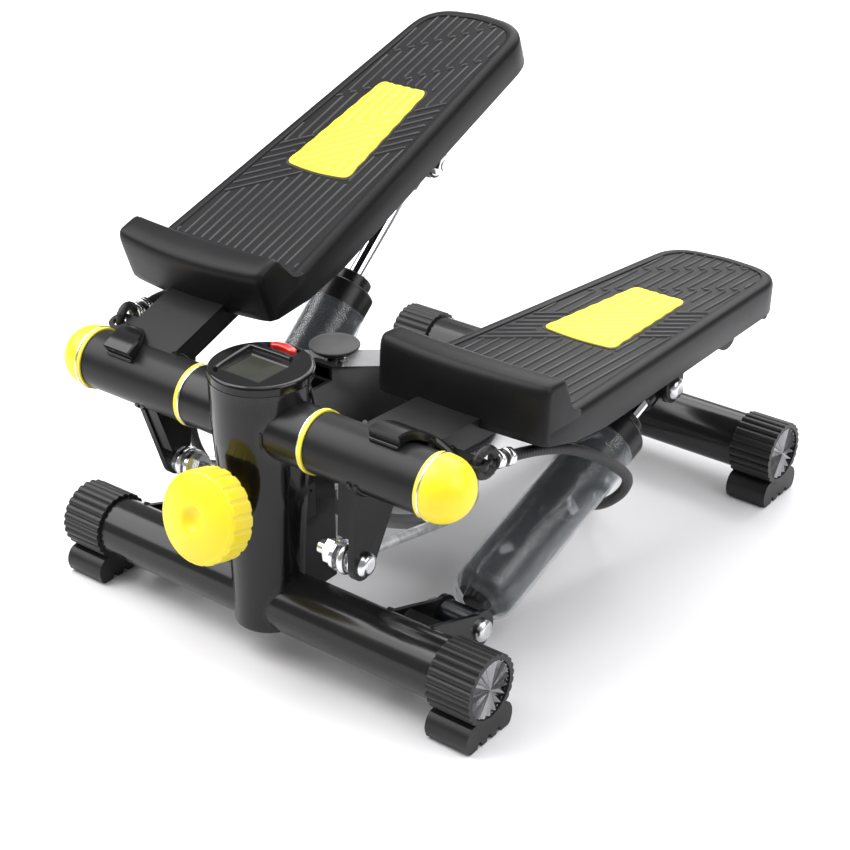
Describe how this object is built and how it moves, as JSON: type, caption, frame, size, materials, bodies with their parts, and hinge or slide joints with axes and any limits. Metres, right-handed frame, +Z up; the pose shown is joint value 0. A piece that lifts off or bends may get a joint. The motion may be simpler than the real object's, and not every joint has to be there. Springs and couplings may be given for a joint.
{
  "type": "mini stepper",
  "caption": "Compact hydraulic mini stepper: cable-linked treadles on two dampers, tubular floor frame, height knob, small monitor, exercise cords.",
  "frame": {"origin": "centre of the footprint, on the floor under the feet", "axes": "+Z up; +Y towards the rear stabiliser, along the treadles; +X to the right seen from the front, where the monitor and knob are"},
  "size_m": [0.326, 0.433, 0.2955],
  "materials": {
    "black_paint": "gloss",
    "zinc": "satin",
    "chrome_rod": "polished",
    "satin_black": "satin",
    "gloss_black": "gloss",
    "yellow": "satin",
    "grey_plastic": "satin",
    "red": "gloss",
    "display": "gloss",
    "rubber": "matte",
    "wire_rope": "satin",
    "disc_metal": "polished"
  },
  "bodies": {
    "frame": {"front_stabilizer": "black_paint", "rear_stabilizer": "black_paint", "end_caps": "satin_black", "end_cap_discs": "disc_metal", "post_column": "black_paint", "post_shell": "gloss_black", "main_beam": "black_paint", "fixed_sleeves": "black_paint", "pivot_axle": "zinc", "axle_nuts": "zinc", "damper_brackets": "black_paint", "lower_damper_bolts": "zinc", "monitor_housing": "gloss_black", "lcd_panel": "display", "step_sensor": "grey_plastic", "sensor_wire": "rubber", "rubber_bumper": "rubber", "bumper_stud": "zinc", "right_cord": "rubber", "left_cord": "rubber", "right_cord_coil": "rubber", "left_cord_coil": "rubber", "right_cord_handle": "rubber", "left_cord_handle": "rubber"},
    "right_arm": {"right_swing_tube": "black_paint", "right_bushes": "yellow", "right_dome_cap": "yellow", "right_pedal_arm": "black_paint", "right_pedal": "satin_black", "right_pedal_inlay": "yellow", "right_pedal_screws": "zinc", "right_arm_bolts": "zinc", "right_cord_eye": "rubber", "right_cable_thimble": "zinc", "right_cable_span": "wire_rope"},
    "right_damper": {"right_damper_cylinder": "black_paint", "right_damper_gland": "gloss_black"},
    "right_rod": {"right_damper_rod": "chrome_rod", "right_rod_end": "gloss_black"},
    "left_arm": {"left_swing_tube": "black_paint", "left_bushes": "yellow", "left_dome_cap": "yellow", "left_pedal_arm": "black_paint", "left_pedal": "satin_black", "left_pedal_inlay": "yellow", "left_pedal_screws": "zinc", "left_arm_bolts": "zinc", "left_cord_eye": "rubber", "left_cable_thimble": "zinc", "left_cable_span": "wire_rope"},
    "left_damper": {"left_damper_cylinder": "black_paint", "left_damper_gland": "gloss_black"},
    "left_rod": {"left_damper_rod": "chrome_rod", "left_rod_end": "gloss_black"},
    "adjuster": {"adjuster_knob": "yellow", "adjuster_screw": "zinc"},
    "carriage": {"pulley_carriage": "zinc"},
    "pulley": {"cable_pulley": "satin_black", "cable_wrap": "wire_rope"},
    "reset_button": {"reset_button": "red"}
  },
  "joints": [
    {"name": "right_pedal_swing", "type": "hinge", "parent": "frame", "child": "right_arm", "pos_m": [0.09, -0.156, 0.1545], "axis": [1, 0, 0], "range_deg": [0, 22.4], "deforming": ["right_cable_span", "right_cord"]},
    {"name": "left_pedal_swing", "type": "hinge", "parent": "frame", "child": "left_arm", "pos_m": [-0.09, -0.156, 0.1545], "axis": [1, 0, 0], "range_deg": [-22.4, 0], "deforming": ["left_cable_span", "left_cord"]},
    {"name": "right_damper_swing", "type": "hinge", "parent": "frame", "child": "right_damper", "pos_m": [0.0985, -0.0932, 0.0232], "axis": [1, 0, 0], "range_deg": [0, 22.1]},
    {"name": "right_rod_slide", "type": "slide", "parent": "right_damper", "child": "right_rod", "axis": [0, 0.9472, 0.3207], "range_m": [0, 0.05737]},
    {"name": "left_damper_swing", "type": "hinge", "parent": "frame", "child": "left_damper", "pos_m": [-0.0985, -0.0932, 0.0232], "axis": [1, 0, 0], "range_deg": [-21.33, 0]},
    {"name": "left_rod_slide", "type": "slide", "parent": "left_damper", "child": "left_rod", "axis": [0, 0.7633, 0.646], "range_m": [-0.05658, 0]},
    {"name": "carriage_slide", "type": "slide", "parent": "frame", "child": "carriage", "axis": [0, 0.9703, -0.2419], "range_m": [-0.003, 0.003]},
    {"name": "knob_turn", "type": "hinge", "parent": "frame", "child": "adjuster", "pos_m": [0, -0.2134, 0.114], "axis": [0, -0.9703, 0.2419], "range_deg": [-720, 720]},
    {"name": "pulley_spin", "type": "hinge", "parent": "carriage", "child": "pulley", "pos_m": [0, -0.0184, 0.048], "axis": [0, 0, 1], "range_deg": [0, 32.41]},
    {"name": "reset_press", "type": "slide", "parent": "frame", "child": "reset_button", "axis": [0, 0, -1], "range_m": [0, 0.0012], "stiffness_N_per_m": 400, "springref_m": -0.0005}
  ],
  "couplings": [
    {"joint": "left_pedal_swing", "follows": "right_pedal_swing", "ratio": -1},
    {"joint": "right_damper_swing", "follows": "right_pedal_swing", "ratio": 0.97747},
    {"joint": "right_rod_slide", "follows": "right_pedal_swing", "m_per_rad": 0.14529},
    {"joint": "left_damper_swing", "follows": "right_pedal_swing", "ratio": -0.94346},
    {"joint": "left_rod_slide", "follows": "right_pedal_swing", "m_per_rad": -0.14329},
    {"joint": "knob_turn", "follows": "carriage_slide", "rad_per_m": 4188.8},
    {"joint": "pulley_spin", "follows": "right_pedal_swing", "ratio": 1.4334}
  ]
}
